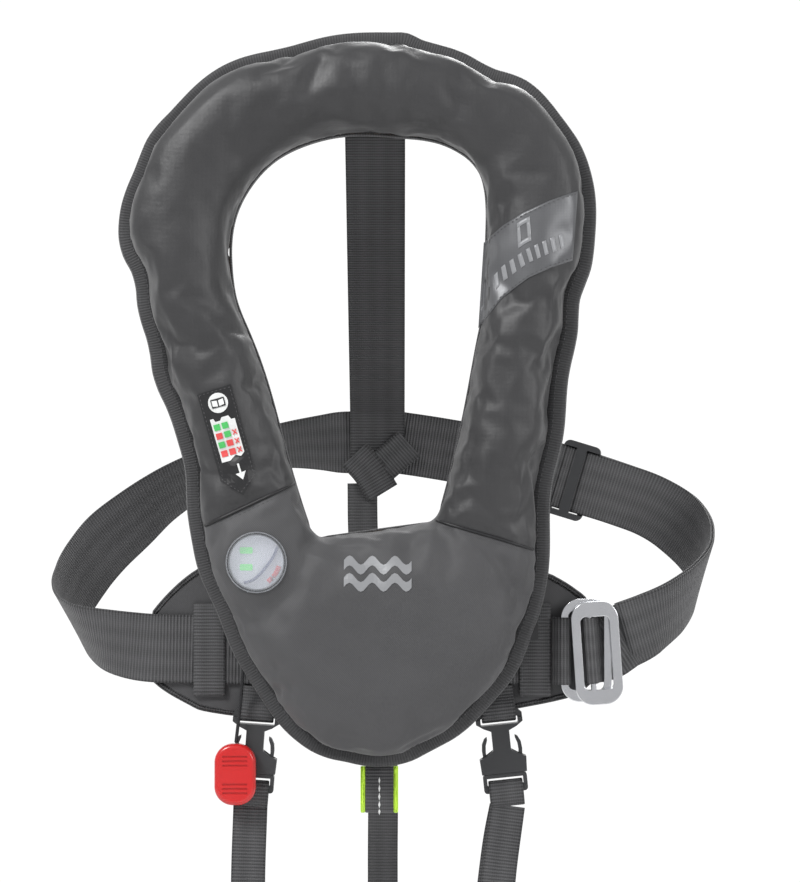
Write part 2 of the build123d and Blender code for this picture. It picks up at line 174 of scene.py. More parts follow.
def material(name, recipe, **fixed):
    """recipe(place, uv) gives a dict of socket values; relief is height in metres for the bump."""
    m = bpy.data.materials.new(name)
    m.use_nodes = True
    tree = m.node_tree
    shader = tree.nodes["Principled BSDF"]
    coords = tree.nodes.new("ShaderNodeTexCoord")
    found = recipe(Socket(tree, coords.outputs["Object"]), Socket(tree, coords.outputs["UV"]))
    relief = found.pop("relief", None)
    for key, value in found.items():
        if isinstance(value, Socket):
            tree.links.new(value.out, shader.inputs[key])
        else:
            shader.inputs[key].default_value = plain(value)
    if relief is not None:
        bump = relief.node("ShaderNodeBump", {}, {"Height": relief, "Strength": 1, "Distance": 1})
        tree.links.new(bump.out, shader.inputs["Normal"])
    for key, value in fixed.items():
        shader.inputs[key.replace("_", " ")].default_value = plain(value)
    made_materials[name] = m
    return m


# %% [markdown]
# Woven cloths. The collar is a coated polyester with a soft gloss, the bib is a heavier twill,
# and the edges are bound with grosgrain, a ribbed tape whose ridges are painted paler, a painted highlight.

# %% Cloth materials
def coated(place, uv):
    threads = place.axis(0).wave(.0009) * place.axis(2).wave(.0009)
    crush, cloud = place.grain(70, 4.0), place.grain(9, 3.0)
    shade = threads * .16 + cloud * .5 + crush * .18
    return {"Base Color": shade.mix((.026, .026, .027), (.062, .062, .064)),
            "Roughness": crush * .16 + .36,
            "relief": threads * .00006 + crush * .0006}


def twill(place, uv):
    slant = (place.axis(0) + place.axis(2) * .9).wave(.0015)
    threads = slant * .7 + place.axis(0).wave(.0008) * .3
    crush, cloud = place.grain(60, 4.0), place.grain(7, 3.0)
    shade = threads * .3 + cloud * .45 + crush * .15
    return {"Base Color": shade.mix((.040, .040, .042), (.098, .098, .101)),
            "Roughness": crush * .14 + .52,
            "relief": threads * .00009 + crush * .0005}


def mesh_lining(place, uv):
    holes = place.axis(0).wave(.0032) * place.axis(2).wave(.0032)
    cloud = place.grain(8, 3.0)
    return {"Base Color": (holes * .6 + cloud * .3).mix((.045, .045, .048), (.016, .016, .018)),
            "Roughness": .8, "relief": holes * -.0006}


def grosgrain(place, uv):
    ribs = uv.axis(1).wave(.0019)
    wear = place.grain(45, 3.0)
    # The rib wave lightens every ridge: a painted highlight on the rib tops and painted shade in the grooves. The
    # wear noise is the tape's own uneven tone.
    return {"Base Color": (ribs * .45 + wear * .5).mix((.020, .020, .021), (.075, .075, .078)),
            "Roughness": .68, "relief": ribs * .00022}


cloth_fixed = dict(Sheen_Weight=.12, Sheen_Roughness=.5, Specular_IOR_Level=.42)
collar_cloth = material("collar_coated_cloth", coated, **cloth_fixed)
bib_cloth = material("bib_twill_cloth", twill, **cloth_fixed)
lining_cloth = material("lining_mesh_cloth", mesh_lining, Sheen_Weight=.2)
tape_cloth = material("edge_grosgrain", grosgrain, Sheen_Weight=.12)
print(len(made_materials), "cloth materials")

# %% [markdown]
# Webbing is woven in thick weft ribs across the strap. Two rows of firmer warp yarn run
# along it, and both selvedges are denser and a little darker.

# %% Webbing materials
def webbing(dark, pale, half):
    def recipe(place, uv):
        along, across = uv.axis(1), uv.axis(0)
        ribs = along.wave(.0024)
        warp = across.wave(.0016)
        rows = across.wave(.0125)
        edge = across.math("ABSOLUTE", across).over(half - .0022, .0012)
        dust = place.grain(30, 3.0)
        # The rib wave also lightens the colour on every rib top: a painted highlight on the ribs and painted shade in
        # the grooves. Warp rows, selvedges and dust are the webbing's own tone.
        shade = ribs * .42 + warp * .12 + rows * .12 + dust * .30 - edge * .25
        return {"Base Color": shade.mix(dark, pale), "Roughness": .62,
                "relief": ribs * .00042 + warp * .00010}
    return recipe


BELT, YOKE, LEG = .050, .044, .025    # widths of the three webbings
WEB, THIN = .0018, .0016              # thickness of webbing, and of its lighter kind
# The pale colours below are reached mostly on the rib tops, where the rib wave paints a highlight.
belt_web = material("webbing_belt", webbing((.010, .010, .011), (.125, .125, .129), BELT / 2), Sheen_Weight=.1)
yoke_web = material("webbing_yoke", webbing((.008, .008, .009), (.088, .088, .092), YOKE / 2), Sheen_Weight=.1)
leg_web = material("webbing_leg", webbing((.010, .010, .011), (.108, .108, .112), LEG / 2), Sheen_Weight=.1)
print(len(made_materials), "materials so far")

# %% [markdown]
# Hard and shiny things: brushed stainless steel, moulded acetal buckles, the glossy red
# handle, the clear window, and the parts of the firing head.

# %% Hard materials
def brushed(place, uv):
    drawn_out = place.node("ShaderNodeVectorMath", {"operation": "MULTIPLY"}, {0: place, 1: (1, 1, 9)})
    lines = drawn_out.grain(60, 3.0)
    smear = place.grain(22, 3.0)
    return {"Base Color": smear.mix((.72, .73, .75), (.90, .91, .93)), "Roughness": lines * .10 + .18,
            "relief": lines * .000001}


def moulded(colour, lift, rough, pits=.00004):
    def recipe(place, uv):
        fine, broad = place.grain(900, 2.0), place.grain(25, 3.0)
        pale = tuple(c + lift for c in colour)
        return {"Base Color": broad.mix(colour, pale), "Roughness": broad * .1 + rough, "relief": fine * pits}
    return recipe


def braid(place, uv):
    up, across = place.axis(2), place.axis(0) * 2
    cross = (up + across).wave(.0022) * (up - across).wave(.0022)
    return {"Base Color": cross.mix((.006, .006, .007), (.050, .050, .055)), "Roughness": .6,
            "relief": cross * .0004}


def retro(place, uv):
    cells = place.axis(0).wave(.0011) * place.axis(2).wave(.0011)
    smear = place.grain(30, 3.0)
    shade = smear * .6 + cells * .3
    return {"Base Color": shade.mix((.105, .107, .112), (.175, .178, .185)), "Roughness": smear * .12 + .34,
            "relief": cells * .00003}


steel = material("steel_brushed", brushed, Metallic=1.0)
buckle_plastic = material("plastic_buckle", moulded((.030, .031, .033), .022, .34))
red_plastic = material("plastic_handle_red", moulded((.58, .004, .004), .02, .24, .000004),
                       Coat_Weight=.35, Coat_Roughness=.08)
white_plastic = material("plastic_inflator", moulded((.62, .63, .69), .18, .12, .0), Metallic=.5)
# The indicators' emission is a painted glow; they are plastic, not lamps.
green_plastic = material("plastic_indicator", moulded((.06, .52, .07), .10, .25, .00001),
                         Emission_Color=(.08, .6, .1), Emission_Strength=.25)
zip_plastic = material("zip_plastic", moulded((.014, .014, .015), .012, .42))
cord_cloth = material("cord_braided", braid)
silver_tape = material("reflective_silver", retro, Metallic=.35, Specular_IOR_Level=.7)
print(len(made_materials), "materials so far")

# %% [markdown]
# The last few: printed marks, bright threads, and parts that stay inside until the jacket opens.

# %% Prints and inner materials
label_black = material("label_black", moulded((.010, .010, .011), .008, .42))
print_white = material("print_white", moulded((.74, .75, .74), .08, .5))
print_green = material("print_green", moulded((.05, .50, .10), .06, .5))
print_red = material("print_red", moulded((.70, .05, .05), .06, .5))
# The silver print's emission is a painted glow that stands in for the shine of reflective ink.
print_silver = material("print_silver", retro, Metallic=.2, Emission_Color=(.55, .56, .58),
                        Emission_Strength=.35)
# The fluorescent edge's emission is a painted glow on top of its own bright yellow-green.
fluo = material("loop_edge_fluo", moulded((.50, .82, .03), .06, .55), Emission_Color=(.5, .9, .02),
                Emission_Strength=.12)
thread = material("thread_silver", moulded((.46, .47, .48), .1, .5))
thread_dark = material("thread_dark", moulded((.075, .075, .078), .02, .6))
orange = material("plastic_whistle", moulded((.80, .20, .02), .08, .35))
bladder_cloth = material("bladder_coated", moulded((.75, .33, .02), .06, .5))
bottle_steel = material("bottle_painted", moulded((.34, .35, .36), .05, .3), Metallic=.7)
rubber = material("rubber_tube", moulded((.02, .02, .02), .012, .6))
lens = material("light_lens", moulded((.70, .72, .62), .1, .15), Coat_Weight=.5)
blue_braid = material("cord_blue", moulded((.010, .016, .10), .02, .5))
clear = material("window_clear", moulded((.80, .84, .90), .05, .05, .0), Alpha=.20, Coat_Weight=1.0,
                 Coat_Roughness=.02)
print(len(made_materials), "materials in all")


# %% [markdown]
# Straps are swept: a flat section travels along a curve through a few stations. The mesh
# keeps its place across and along the strap in metres, so the weave has its true pitch.

# %% Smooth paths
def mm(*values):
    return Vector(values) * .001


def smooth(stations, step=.004, closed=False):
    """Points about a step apart on a smooth curve through the stations."""
    pts = [Vector(s) for s in stations]
    n = len(pts)
    gaps = [max((Vector(pts[(i + 1) % n][:3]) - Vector(pts[i][:3])).length, 1e-6) for i in range(n)]
    slopes = [(pts[(i + 1) % n] - pts[i]) / gaps[i] for i in range(n)]
    tangents = []
    for i in range(n):
        if not closed and i in (0, n - 1):
            tangents.append(slopes[0] if i == 0 else slopes[n - 2])
        else:
            a, b = gaps[i - 1], gaps[i]
            tangents.append((slopes[i - 1] * b + slopes[i] * a) / (a + b))
    out = []
    for i in range(n if closed else n - 1):
        p, q, g = pts[i], pts[(i + 1) % n], gaps[i]
        m, k = tangents[i] * g, tangents[(i + 1) % n] * g
        count = max(1, round(g / step))
        for j in range(count):
            t = j / count
            out.append(p * (2 * t**3 - 3 * t**2 + 1) + m * (t**3 - 2 * t**2 + t)
                       + q * (3 * t**2 - 2 * t**3) + k * (t**3 - t**2))
    return out if closed else out + [pts[-1]]


def framed(points, closed=False):
    """Middle, width direction and face direction at every point; numbers 3 to 5 are the width."""
    n, out = len(points), []
    for i, p in enumerate(points):
        before = points[(i - 1) % n] if closed or i else p
        after = points[(i + 1) % n] if closed or i < n - 1 else p
        run = (Vector(after[:3]) - Vector(before[:3])).normalized()
        across = Vector(p[3:6])
        across = (across - run * across.dot(run)).normalized()
        out.append((Vector(p[:3]), across, run.cross(across)))
    return out


# %% [markdown]
# One sweeping function makes belts, tapes, piping and the sewn loops.

# %% Sweeping a section
def add_mesh(name, verts, faces, mat, uvs=None, round_over=True):
    mesh = bpy.data.meshes.new(name)
    mesh.from_pydata([tuple(v) for v in verts], [], faces)
    if uvs:
        layer = mesh.uv_layers.new(name="metres")
        for loop, uv in zip(layer.data, [uv for face in uvs for uv in face]):
            loop.uv = uv
    mesh.polygons.foreach_set("use_smooth", [round_over] * len(mesh.polygons))
    mesh.materials.append(mat)
    return linked(name, mesh)


def sweep(path, section, closed=False):
    """Verts, faces and UVs of a closed section carried along framed points."""
    n, k = len(path), len(section)
    verts = [mid + across * a + face * b for mid, across, face in path for a, b in section]
    dist = [0.0]
    for i in range(n):
        dist.append(dist[-1] + (path[(i + 1) % n][0] - path[i][0]).length)
    faces, uvs = [], []
    for i in range(n if closed else n - 1):
        for j in range(k):
            i2, j2 = (i + 1) % n, (j + 1) % k
            faces.append((i * k + j, i * k + j2, i2 * k + j2, i2 * k + j))
            uvs.append([(section[j][0], dist[i]), (section[j2][0], dist[i]),
                        (section[j2][0], dist[i + 1]), (section[j][0], dist[i + 1])])
    if not closed:
        for i in (0, n - 1):
            ring = [i * k + j for j in range(k)]
            faces.append(ring if i else ring[::-1])
            uvs.append([(section[j % k][0], dist[i]) for j in ring[::1 if i else -1]])
    return verts, faces, uvs


def swept(name, path, section, mat, closed=False):
    verts, faces, uvs = sweep(path, section, closed)
    return add_mesh(name, verts, faces, mat, uvs)


def flat_section(width, thick, lift=0.0):
    """A strap's section in metres, with soft edges."""
    h, e = width / 2, thick / 2
    side = [(-h, 0), (-h + e * .3, -e * .7), (-h + e, -e), (-h / 2, -e), (0, -e), (h / 2, -e),
            (h - e, -e), (h - e * .3, -e * .7)]
    return [(a, b + lift) for a, b in side + [(-a, -b) for a, b in side]]


def strap(name, stations, width, thick, mat, body=None, lift=0.0, step=.004, stands=(),
          place=None):
    """A webbing piece through stations in millimetres: middle, then the direction of its width."""
    points = smooth([Vector((*mm(*s[:3]), *s[3:6])) for s in stations], step)
    verts, faces, uvs = sweep(framed(points), flat_section(width, thick, lift))
    if place:
        verts = [place(v) for v in verts]
    return placed(add_mesh(name, verts, faces, mat, uvs), body, stands)


# %% [markdown]
# The waist belt is one loop of 50 mm webbing. It passes behind the jacket, bulges out on
# each side as it would round a body, and closes in front with the steel buckle. At the
# back right it doubles back through a slider.

# %% Waist belt
LEFT_BELT = [
    (12, 229, -220.5, 0, 0, 1), (-15, 229, -221, 0, 0, 1), (-40, 229, -221.5, .04, -.45, .88),
    (-68, 228.5, -223.5, .1, -.66, .74), (-100, 225, -230, .13, -.68, .72),
    (-135, 218.5, -246, .16, -.56, .81), (-165, 207, -264, .12, -.3, .95),
    (-188, 191.5, -283, -.06, 0, 1), (-206, 173, -299.5, -.24, .16, .95),
    (-218, 152, -316, -.3, .14, .95), (-227, 125, -335, -.38, 0, .92),
    (-228, 102, -346, -.44, -.07, .89), (-223, 80, -355, -.45, -.2, .87),
    (-209, 57, -363, -.33, -.28, .9), (-187, 39.5, -368, -.12, -.16, .98),
    (-161, 28.5, -371, 0, 0, 1), (-130, 28.5, -372, 0, 0, 1), (130, 28.5, -373, 0, 0, 1),
]
RIGHT_BELT = [
    (17.5, 229, -220.5, 0, 0, 1), (45, 226.5, -224.5, .08, 0, 1), (85, 218.5, -231.5, .2, 0, 1),
    (129, 207.6, -241.2, .29, -.04, .96), (201, 197.4, -263.3, .29, -.04, .96),
    (220, 191, -270.5, .26, .1, .95), (238, 178, -281, .24, .22, .94),
    (251, 158, -294, .24, .1, .96), (257, 133, -307, .24, .02, .96),
    (255, 107, -318, .27, -.08, .95), (247, 80, -329, .24, -.12, .96),
    (232, 54, -341, .18, -.17, .97), (212, 35.5, -352, .12, -.18, .98),
    (200, 30, -357.5, .08, -.12, .99), (188, 25.7, -362, .03, -.06, 1),
]
strap("belt_left", LEFT_BELT, BELT, WEB, belt_web, "jacket", stands=["waist_belt_left"])
strap("belt_right", RIGHT_BELT, BELT, WEB, belt_web, "jacket", stands=["waist_belt_right"])
strap("belt_return", [(151, 204.5, -248, .29, -.04, .96)] + RIGHT_BELT[4:], BELT, WEB, belt_web, "jacket",
      lift=.00205, stands=["waist_belt_return"])
print("belt pieces swept")

# %% [markdown]
# A 44 mm yoke strap hangs from the back of the collar down to the belt. Its lower half is
# doubled and stitched, and the ends cross in a sewn hitch that grips the belt.

# %% Yoke and hitch
def bent(points, x):
    """A path in the Y, Z plane as stations whose width lies along X."""
    return [(x, y, z, 1, 0, 0) for y, z in points]


YOKE_PATH = [(27.4, 52), (27.4, 16), (28, 4), (34, -4), (50, -20), (110, -82), (170, -143), (212, -186),
             (222, -197), (224.3, -206), (224.3, -236)]
strap("yoke", bent(YOKE_PATH, 5.6), YOKE, WEB, yoke_web, "jacket", stands=["yoke_strap"])
strap("yoke_double", bent([(143.4, -112.9), (180, -150.3), (221, -192.1)], 5.6), YOKE, WEB, yoke_web,
      "jacket", stands=["yoke_doubler"])
strap("hitch_a", [(31, 221.3, -222, .62, 0, -.78), (22, 220.6, -230, .62, 0, -.78),
                  (10, 220.6, -240.5, .62, 0, -.78)], .0265, WEB, leg_web, "jacket", stands=["hitch_upper"])
strap("hitch_b", [(-13, 221.3, -231, .64, 0, .77), (-2, 220.4, -243, .64, 0, .77),
                  (10, 221.3, -262, .78, 0, .62)], .0275, WEB, leg_web, "jacket", stands=["hitch_lower"])
strap("hitch_rear", bent([(226.3, -206), (226.8, -196), (229, -193), (231.6, -197), (232, -222),
                          (231.6, -248), (229, -252), (226.6, -249), (226.3, -244)], 4.5), LEG, THIN,
      leg_web, "jacket", step=.002, stands=["hitch_back"])
BACK = [(-6.5, 224.3, -254, 1, 0, 0), (-6, 224, -292, 1, 0, 0), (2, 221, -380, 1, 0, 0),
        (9.5, 216, -470, 1, 0, 0), (10, 212, -560, 1, 0, 0), (10, 210.5, -622, 1, 0, 0)]
strap("crotch_back", BACK, .024, WEB, leg_web, "jacket", stands=["crotch_strap_back"])
print("yoke, hitch and back strap swept")

# %% [markdown]
# Two crotch straps come from the back strap, pass between the legs and clip to the front
# with side-release buckles.

# %% Crotch straps
SIDES = {"left": (-82.5, -446.0, -4.0), "right": (98.3, -446.0, 6.0)}
LOOPS = {
    "left": [(-87, 24.5, -540, 1, 0, 0), (-87, 27, -585, 1, 0, 0), (-82, 41, -625, 1, 0, 0),
             (-69, 72, -657, 1, 0, 0), (-49, 111, -672, 1, 0, 0), (-26, 151, -668, 1, 0, 0),
             (-7, 184, -649, 1, 0, 0), (5, 203, -622, 1, 0, 0), (8, 206.5, -596, 1, 0, 0)],
    "right": [(95.6, 24.5, -541, 1, 0, 0), (93, 27, -590, 1, 0, 0), (89, 42, -632, 1, 0, 0),
              (79, 74, -665, 1, .1, 0), (62, 114, -681, 1, .2, 0), (42, 154, -677, 1, .2, 0),
              (24, 192, -661, 1, .1, 0), (14, 212, -640, 1, 0, 0), (11, 214.3, -620, 1, 0, 0),
              (11, 214.8, -596, 1, 0, 0)],
}


def leaning(side):
    """Moves a point from a buckle's own upright place to where the buckle hangs."""
    x, z, tilt = SIDES[side]
    t = radians(tilt)
    return lambda v: Vector((x * .001 + v.x * cos(t) - v.z * sin(t), .0245 + v.y,
                             z * .001 + v.x * sin(t) + v.z * cos(t)))


EYE_END = 40.2    # from a buckle's middle to where its crotch strap starts
for side, stations in LOOPS.items():
    x, z, tilt = SIDES[side]
    t = radians(tilt)
    lead = [(x + sin(t) * EYE_END, 24.5, z - cos(t) * EYE_END, cos(t), 0, sin(t))]
    loop = strap("crotch_" + side, lead + stations, LEG, WEB, leg_web)
    "plug_" + side
    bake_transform(loop)
    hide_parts("crotch_strap_" + side)
    strap("eye_" + side, bent([(-.4, -39.9), (-3.2, -35), (-3.6, -31), (-3.5, -24.5), (0, -21.6), (3.5, -24.5),
                               (3.6, -31), (3.2, -35), (.4, -39.9)], 0), LEG, THIN, leg_web,
          "plug_" + side, step=.0015, stands=["crotch_eye_" + side], place=leaning(side))
    strap("tab_" + side, bent([(2.6, 46.8), (2.4, 41), (-3, 32), (-3.4, 27), (-3, 24), (0, 22), (3, 24),
                               (3.4, 27), (3.6, 33), (4.4, 40), (4.4, 46.8)], 0), LEG, THIN, leg_web,
          "jacket", step=.0015, stands=["socket_tab_" + side], place=leaning(side))
strap("tail_right", [(101.6, 27.0, -487, 1, 0, 0), (98.0, 27.2, -505, 1, 0, 0), (93, 27.2, -541, 1, 0, 0),
                     (89.5, 29, -575, 1, 0, 0)], LEG, THIN, leg_web, "plug_right", stands=["crotch_tail_right"])
strap("junction", bent([(216.8, -596), (216.8, -622)], 10), .030, THIN, leg_web, "jacket",
      stands=["crotch_junction"])
print("crotch straps swept")


# %% [markdown]
# The belt ends fold round the bars of the steel buckle. Two sewn keepers hold the belt
# against the jacket, and a fluorescent loop below the bib is there to lift a casualty.

# %% Buckle folds, keepers and lifting loop
def upright(points, z):
    """A path in the X, Y plane as stations whose width lies along Z."""
    return [(x, y, z, 0, 0, 1) for x, y in points]


lean = radians(-4)
PLATE_X, PLATE_Z = .1668, -.374


def with_plate(v):
    x, z = v.x - PLATE_X, v.z - PLATE_Z
    return Vector((PLATE_X + x * cos(lean) + z * sin(lean), v.y, PLATE_Z - x * sin(lean) + z * cos(lean)))


fold = strap("plate_fold", [(194, 29.4, -361, .1, 0, 1), (188, 27.4, -364, .08, 0, 1), (180, 26, -368.5, .03, 0, 1)]
             + upright([(172, 25.2), (168.6, 22.6), (166.3, 18.5), (165.6, 14.6), (162.8, 13.2), (160.0, 14.6),
                        (159.6, 18.5), (161, 24), (166.5, 27.5)], -372)
             + [(180, 28.6, -368.5, .03, 0, 1), (190, 30.4, -363, .1, 0, 1)], .048, .0017, belt_web,
             step=.0015, place=with_plate)
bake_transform(fold)
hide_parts("buckle_webbing")
strap("ring_fold", upright([(130.6, 28.5), (136.5, 28), (141.5, 25), (146, 24.4), (147.6, 22), (146, 19.4),
                            (141, 19.4), (137.8, 22), (134.8, 25.4)], -373), .049, THIN, belt_web,
      "jacket", step=.0015, stands=["buckle_ring_webbing"])
for side, x in (("left", -115.5), ("right", 122.5)):
    strap("keeper_" + side, bent([(30, -340), (28, -339.2), (26.75, -341.5), (26.6, -350), (26.6, -396),
                                  (26.75, -404), (28, -406.2), (30, -405.6)], x), .023, .0011, leg_web,
          "jacket", stands=["belt_keeper_" + side])
LOOP = [(18.9, -457), (17.7, -463), (15.7, -474), (14.8, -482), (16.6, -487.6), (20.5, -489.7),
        (24.4, -487.6), (26.2, -482), (25.3, -474), (23.3, -463), (22.1, -457)]
strap("lift_loop", bent(LOOP, 8.8), .0208, .0017, leg_web, "loop", step=.002, stands=["lifting_loop"])
# These edges carry the painted glow of the fluorescent material's emission.
edges = [strap("lift_edge_" + s, bent(LOOP, x), .0034, WEB, fluo, "loop", step=.002)
         for s, x in (("a", -3.2), ("b", 20.8))]
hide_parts("lifting_loop_edges")
print("folds, keepers and lifting loop swept")


# %% [markdown]
# The cover follows two lines that the CAD already holds: the rim and the neck opening. They
# are read back from the walls of the edge tape and the lining.

# %% Rim and neck lines
def wall_lines(node, y):
    """The closed lines where a node's upright walls meet the plane y, longest first."""
    mesh, edges = nodes[node].data, {}
    key = lambda v: (round(v.co.x, 5), round(v.co.z, 5))
    for face in mesh.polygons:
        if abs(face.normal.y) < .3:
            on = [mesh.vertices[i] for i in face.vertices if abs(mesh.vertices[i].co.y - y) < 2e-5]
            if len(on) == 2 and key(on[0]) != key(on[1]):
                for a, b in (on, on[::-1]):
                    edges.setdefault(key(a), set()).add(key(b))
    found = []
    while edges:
        start = next(iter(edges))
        ring, here = [start], start
        while True:
            nexts = [k for k in edges.pop(here, ()) if k in edges]
            if not nexts:
                break
            here = nexts[0]
            ring.append(here)
        found.append([Vector(k) for k in ring])
    length = lambda ring: sum((a - b).length for a, b in zip(ring, ring[1:] + ring[:1]))
    return sorted(found, key=length, reverse=True)


def drawn(line, depth):
    """A closed line moved to its left by depth."""
    out = []
    for a, p, b in zip(line[-1:] + line[:-1], line, line[1:] + line[:1]):
        u, v = (p - a).normalized(), (b - p).normalized()
        out.append(p + Vector((-u.y - v.y, u.x + v.x)) * (depth / (1 + u.dot(v))))
    return out


def turned(line, left):
    """The line in the turning sense that puts the cloth on its left."""
    swing = sum(a.x * b.y - b.x * a.y for a, b in zip(line, line[1:] + line[:1]))
    return line if (swing > 0) == left else line[::-1]


RIM = turned(wall_lines("front_binding", .0081)[0], True)
NECK = turned(wall_lines("back_panel", .0081)[-1], False)
print(len(RIM), "points on the rim,", len(NECK), "round the neck")


# %% [markdown]
# The stuffed cover starts as a closed tube of cloth between those lines. It is remeshed
# evenly so that every thread has the same freedom to move.

# %% The tube of cloth
def tube(inset, grown, levels):
    """A closed body between rim and neck; levels are (y, how much deeper)."""
    bm = bmesh.new()
    ends = []
    for line, depth in ((RIM, inset), (NECK, grown)):
        rings = [[bm.verts.new((p.x, y, p.y)) for p in drawn(line, depth + more)] for y, more in levels]
        for low, high in zip(rings, rings[1:]):
            for i in range(len(low)):
                j = (i + 1) % len(low)
                bm.faces.new((low[i], low[j], high[j], high[i]))
        ends.append((rings[0], rings[-1]))
    for k in (0, 1):
        loops = [bm.edges.get((a, b)) for end in ends for a, b in zip(end[k], end[k][1:] + end[k][:1])]
        bmesh.ops.triangle_fill(bm, use_beauty=True, edges=loops)
    bmesh.ops.recalc_face_normals(bm, faces=bm.faces)
    mesh = bpy.data.meshes.new("tube")
    bm.to_mesh(mesh)
    bm.free()
    return mesh


def baked(obj):
    """Turns what its modifiers make into the object's own mesh."""
    mesh = bpy.data.meshes.new_from_object(obj.evaluated_get(bpy.context.evaluated_depsgraph_get()))
    obj.modifiers.clear()
    obj.data = mesh
    return obj


def rounded(front, edge, r, bends=5):
    turns = [pi / 2 * i / bends for i in range(bends + 1)]
    return [(edge, 0.0)] + [(front + r * (1 - sin(t)), r * (1 - cos(t))) for t in turns]


def remeshed(name, mesh, size):
    obj = linked(name, mesh)
    obj.modifiers.new("even", "REMESH").mode = "VOXEL"
    obj.modifiers["even"].voxel_size = size
    return baked(obj)


cover = remeshed("cover", tube(.0112, .0004, rounded(-.0255, .008, .019)), .0048)
print(len(cover.data.vertices), "points in the cover")

# %% [markdown]
# The cover is closed by a seam between the collar and the bib, and a round window is sewn
# into the bib. Both stay put while the rest of the cloth is pushed out from inside.

# %% Seam, window and what is held
SEAM = [mm(x, 0, z) for x, z in ((-190, -315.6), (-30, -240.4), (44, -275.2), (95, -289.6), (125, -299.5),
                                 (190, -321))]
window_low, window_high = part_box("inspection_window")
hole = (window_low + window_high) / 2
hole_r = .0192


def from_seam(x, z):
    """Height above the seam line, below zero on the bib."""
    for a, b in zip(SEAM, SEAM[1:]):
        if a.x <= x <= b.x:
            t = (x - a.x) / (b.x - a.x)
            slope = (b.z - a.z) / (b.x - a.x)
            return (z - (a.z + (b.z - a.z) * t)) / (1 + slope * slope) ** .5
    return 1.0


def blend_in(value, low, high):
    t = min(max((value - low) / (high - low), 0), 1)
    return t * t * (3 - 2 * t)


def from_window(x, z):
    return (Vector((x, z)) - Vector((hole.x, hole.z))).length


held = cover.vertex_groups.new(name="held")
for v in cover.data.vertices:
    near_window = 1 - blend_in(from_window(v.co.x, v.co.z), .022, .034)
    near_seam = 1 - blend_in(abs(from_seam(v.co.x, v.co.z)), .003, .006)
    held.add([v.index], max(blend_in(v.co.y, .002, .006), near_window, near_seam * .9), "REPLACE")
print("seam and window held")

# %% [markdown]
# A little air pressure and slightly oversized cloth give the soft swelling and the short
# wrinkles that a packed bladder makes.

# %% Cloth simulation
FARTHEST = .0085    # no thread may move farther than this
before = [v.co.copy() for v in cover.data.vertices]
cloth = cover.modifiers.new("cloth", "CLOTH")
s = cloth.settings
s.quality, s.mass, s.air_damping = 6, .25, 2.0
s.tension_stiffness = s.compression_stiffness = 18
s.shear_stiffness, s.bending_stiffness = 8, .4
s.vertex_group_mass, s.pin_stiffness = "held", 1.0
s.use_pressure, s.uniform_pressure_force = True, 4.0
s.shrink_min = s.shrink_max = -.035
s.effector_weights.gravity = 0
cloth.collision_settings.use_collision = False
cloth.point_cache.frame_start, cloth.point_cache.frame_end = 1, 20
for f in range(1, 21):
    scene.frame_set(f)
baked(cover)
scene.frame_set(1)
moved = 0.0
for v, old in zip(cover.data.vertices, before):
    step = v.co - old
    if step.length > FARTHEST:
        v.co = old + step * (FARTHEST / step.length)
    moved = max(moved, step.length)
print("cloth moved at most", round(moved * 1000, 1), "mm")

# %% [markdown]
# Long creases run where the tube bends: across the top behind the neck, along the inner
# curve, and from the corners of the bib. Each is a shallow groove with a soft ridge beside it.

# %% Creases
CREASES = [
    (-8, 10, -14, 52, 2.2, 5), (10, 4, 12, 58, 2.6, 5), (30, 3, 40, 50, 2.2, 5), (-28, 2, -44, 46, 1.8, 5),
    (52, -6, 72, 36, 2.0, 6), (-50, -12, -76, 30, 1.6, 6), (76, -26, 108, 4, 1.6, 6), (-76, -30, -112, 0, 1.4, 6),
    (86, -50, 120, -44, 1.2, 7), (-94, -70, -134, -60, 1.2, 7), (-99, -95, -118, -150, 1.2, 6),
    (-60, -222, -98, -232, 1.6, 6), (-56, -240, -84, -262, 1.4, 6), (60, -240, 96, -262, 1.5, 6),
    (70, -200, 104, -214, 1.4, 6), (-36, -293, -70, -345, 2.0, 7), (-20, -290, -28, -360, 1.4, 8),
    (48, -281, 84, -332, 2.0, 7), (30, -286, 34, -350, 1.3, 8), (-38, -292, -58, -300, 1.5, 5),
    (56, -286, 100, -300, 1.4, 5), (-60, -385, -10, -415, 1.2, 8), (30, -420, 80, -385, 1.2, 8),
]
folds = [(Vector((a, c)) * .001, Vector((b, d)) * .001, e * .001, w * .001) for a, c, b, d, e, w in CREASES]
for v in cover.data.vertices:
    x, y, z = v.co
    front = 1 - blend_in(y, -.004, .007)
    if not front:
        continue
    here = Vector((x, z))
    push = 0.0
    for a, b, deep, wide in folds:
        t = min(max((here - a).dot(b - a) / (b - a).length_squared, 0), 1)
        d = here - a - (b - a) * t
        side = d.dot(Vector((a.y - b.y, b.x - a.x)).normalized()) / wide
        fade = (1 - t) ** .7
        groove = 2.7 ** -(d.length_squared / wide**2)
        ridge = 2.7 ** -((side - 1.6) ** 2 + max(d.length / wide - abs(side), 0) ** 2)
        push += deep * fade * (-groove + .6 * ridge)
    push += .0011 * noise.noise(here.to_3d() * 26) + .0005 * noise.noise(here.to_3d() * 75)
    keep = blend_in(abs(from_seam(x, z)), 0, .008) * blend_in(from_window(x, z), .022, .034)
    v.co.y -= push * front * keep
    v.co.y += .0030 * front * (1 - blend_in(abs(from_seam(x, z)), 0, .009))
    near = 1 - blend_in(from_window(x, z), .021, .036)
    v.co.y += (-.0296 - v.co.y) * near * front
cover.modifiers.new("fine", "SUBSURF").levels = 1
baked(cover)
print(len(cover.data.vertices), "points after smoothing")

# %% [markdown]
# The cloth is cut along the seam and round the window, and becomes two pieces: the glossy
# collar and the matt bib.

